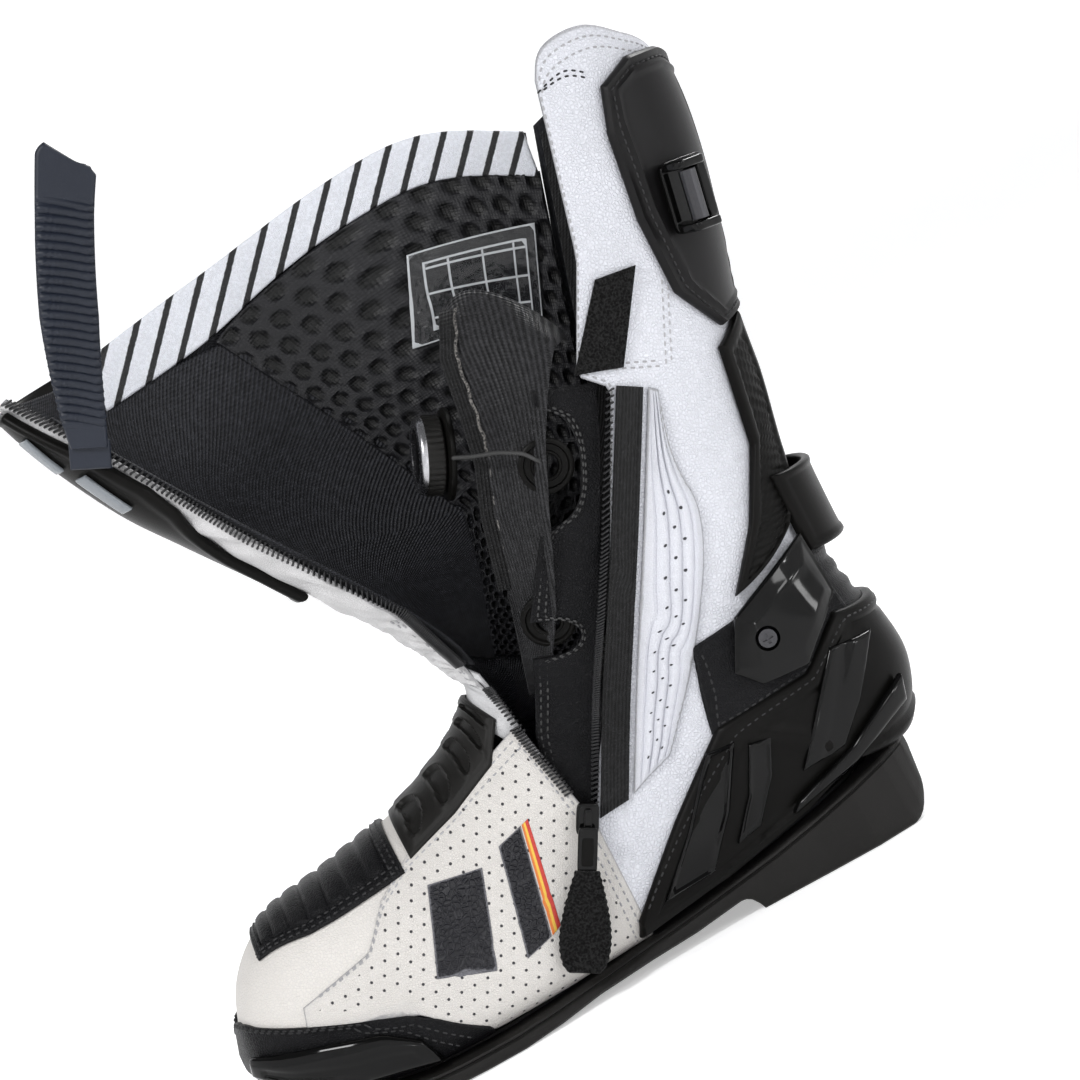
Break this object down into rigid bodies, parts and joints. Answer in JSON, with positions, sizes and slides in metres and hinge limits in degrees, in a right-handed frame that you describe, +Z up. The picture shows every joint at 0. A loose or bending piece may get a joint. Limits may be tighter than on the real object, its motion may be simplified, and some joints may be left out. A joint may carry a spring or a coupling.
{
  "type": "riding boot",
  "caption": "Tall motorcycle racing boot standing open at its side zip, with hinged ankle brace, calf strap and catch, folded-forward shin panel and lacing dial inside.",
  "frame": {"origin": "on the ground under the axis of the ankle screws, on the heel tread", "axes": "+X from toe to heel, -Y towards the outer (lateral) side, +Z up; the sole stands on z = 0"},
  "size_m": [0.3565, 0.1133, 0.415],
  "materials": {
    "white_leather": "fine-grain leather, satin",
    "black_leather": "smooth leather, satin",
    "black_rubber": "moulded rubber, matte",
    "sole_rubber": "sole rubber, matte",
    "gloss_plastic": "polished",
    "satin_plastic": "satin",
    "mesh_lining": "open spacer mesh",
    "knit_lining": "fine knit",
    "striped_leather": "grained, striped",
    "zip_tape": "woven tape",
    "zip_teeth": "moulded teeth",
    "hook_fabric": "hook and loop pile",
    "clear_plastic": "translucent film",
    "screw_steel": "blackened",
    "dial_metal": "knurled satin"
  },
  "bodies": {
    "foot": {"outsole": "sole_rubber", "midsole_board": "black_rubber", "footbed": "knit_lining", "toe_slider": "gloss_plastic", "toe_rand": "black_rubber", "toe_box": "white_leather", "shift_pad": "black_rubber", "vamp_lateral": "white_leather", "vamp_medial": "white_leather", "instep_flex_panel": "black_rubber", "zip_teeth_instep": "zip_teeth", "quarter_lower": "white_leather", "heel_counter": "satin_plastic", "heel_window_lateral": "gloss_plastic", "heel_window_medial": "gloss_plastic", "heel_insert_lateral": "gloss_plastic", "heel_insert_medial": "gloss_plastic", "heel_slider": "satin_plastic", "ankle_pad_lateral": "black_leather", "ankle_pad_medial": "black_leather", "ankle_screw_lateral": "screw_steel", "ankle_screw_medial": "screw_steel", "ankle_gusset": "black_leather"},
    "shaft": {"quarter_upper": "white_leather", "rear_lining": "knit_lining", "quilted_panel": "white_leather", "zip_tape_rear": "zip_tape", "zip_teeth_rear": "zip_teeth", "hook_patch": "hook_fabric", "calf_plate": "satin_plastic", "catch_base": "gloss_plastic", "brace_arm_lateral": "satin_plastic", "brace_arm_medial": "satin_plastic", "ankle_cup_lateral": "gloss_plastic", "ankle_cup_medial": "gloss_plastic", "achilles_loop": "gloss_plastic", "inner_flap": "black_leather", "lace_guide_upper": "satin_plastic", "lace_guide_lower": "satin_plastic", "tongue": "knit_lining", "dial_base": "satin_plastic", "lace": "knit_lining", "medial_wall": "white_leather", "medial_lining": "mesh_lining", "collar_band": "striped_leather", "size_label": "clear_plastic"},
    "shin": {"shin_panel": "white_leather", "shin_lining": "knit_lining", "shin_shell": "satin_plastic", "shell_insert_upper": "clear_plastic", "shell_insert_lower": "clear_plastic", "zip_teeth_front": "zip_teeth", "strap_anchor": "satin_plastic"},
    "strap": {"strap": "black_rubber"},
    "roller": {"catch_roller": "satin_plastic"},
    "zip_slider": {"zip_slider": "zip_teeth"},
    "pull": {"pull_bar": "gloss_plastic", "pull_tab": "hook_fabric"},
    "dial": {"dial": "dial_metal"}
  },
  "joints": [
    {"name": "ankle_flex", "type": "hinge", "parent": "foot", "child": "shaft", "pos_m": [0, 0, 0.101], "axis": [0, -1, 0], "range_deg": [-4, 8], "stiffness_Nm_per_rad": 12, "deforming": ["instep_flex_panel", "ankle_gusset", "quilted_panel", "zip_tape_rear", "zip_teeth_rear", "medial_wall", "medial_lining"]},
    {"name": "shin_fold", "type": "hinge", "parent": "shaft", "child": "shin", "pos_m": [-0.112, 0, 0.128], "axis": [0, 1, 0], "range_deg": [-5, 30], "deforming": ["collar_band", "size_label"]},
    {"name": "strap_swing", "type": "hinge", "parent": "shin", "child": "strap", "pos_m": [-0.21, -0.042, 0.3], "axis": [0.8976, 0, -0.4408], "range_deg": [0, 50], "stiffness_Nm_per_rad": 0.08},
    {"name": "catch_roll", "type": "hinge", "parent": "shaft", "child": "roller", "pos_m": [0.06071, -0.04682, 0.27473], "axis": [0.2079, -0.0136, 0.9781], "continuous": true},
    {"name": "zip_slide", "type": "slide", "parent": "shaft", "child": "zip_slider", "axis": [0.502, -0.0437, 0.8638], "range_m": [0, 0.14]},
    {"name": "pull_swing", "type": "hinge", "parent": "zip_slider", "child": "pull", "pos_m": [-0.10157, -0.05292, 0.06922], "axis": [-0.8646, 0, 0.5024], "range_deg": [0, 110]},
    {"name": "dial_turn", "type": "hinge", "parent": "shaft", "child": "dial", "pos_m": [-0.082, -0.002, 0.228], "axis": [-0.8996, -0.12, 0.4198], "continuous": true}
  ]
}
